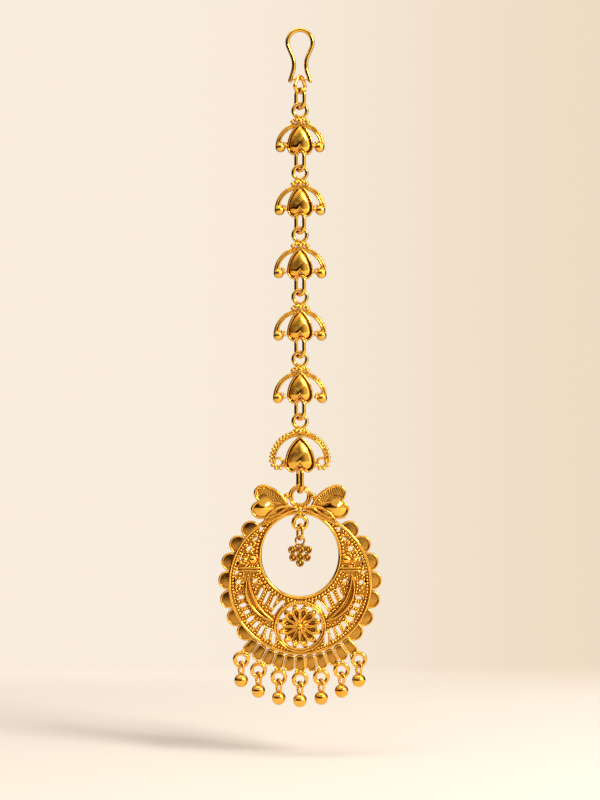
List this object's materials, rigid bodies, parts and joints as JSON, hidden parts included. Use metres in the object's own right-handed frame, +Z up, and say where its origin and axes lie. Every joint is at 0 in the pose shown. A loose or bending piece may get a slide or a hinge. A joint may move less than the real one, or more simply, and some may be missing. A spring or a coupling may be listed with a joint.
{
  "type": "maang tikka",
  "caption": "Hair-parting jewel: a wire hair hook, a chain of openwork leaf plaques and a pierced crescent pendant with a flower charm and ball drops.",
  "frame": {"origin": "inside top of the hair hook's loop, where the jewel hangs", "axes": "+Z up along the hanging chain, the decorated front faces -Y, +X to the viewer's right"},
  "size_m": [0.036, 0.0036, 0.1495],
  "materials": {
    "polished_gold": "polished gold plate",
    "cast_gold": "cast and soldered gold plate with polished rims, grains and satin fields"
  },
  "bodies": {
    "chain": {"hair_hook": "polished_gold", "top_link": "polished_gold", "twist_link": "polished_gold", "leaf_plaque_1": "cast_gold", "leaf_plaque_2": "cast_gold", "leaf_plaque_3": "cast_gold", "leaf_plaque_4": "cast_gold", "leaf_plaque_5": "cast_gold", "beaded_plaque": "cast_gold", "chain_link_1": "polished_gold", "chain_link_2": "polished_gold", "chain_link_3": "polished_gold", "chain_link_4": "polished_gold", "chain_link_5": "polished_gold", "pendant_link": "polished_gold"},
    "pendant": {"pendant": "cast_gold", "charm_link": "polished_gold", "flower_charm": "cast_gold", "ball_drop_1": "polished_gold", "ball_drop_2": "polished_gold", "ball_drop_3": "polished_gold", "ball_drop_4": "polished_gold", "ball_drop_5": "polished_gold", "ball_drop_6": "polished_gold", "ball_drop_7": "polished_gold"}
  },
  "joints": [
    {"name": "pendant_swing", "type": "hinge", "parent": "chain", "child": "pendant", "pos_m": [0, 0, -0.10024], "axis": [1, 0, 0], "range_deg": [-120, 120]}
  ]
}
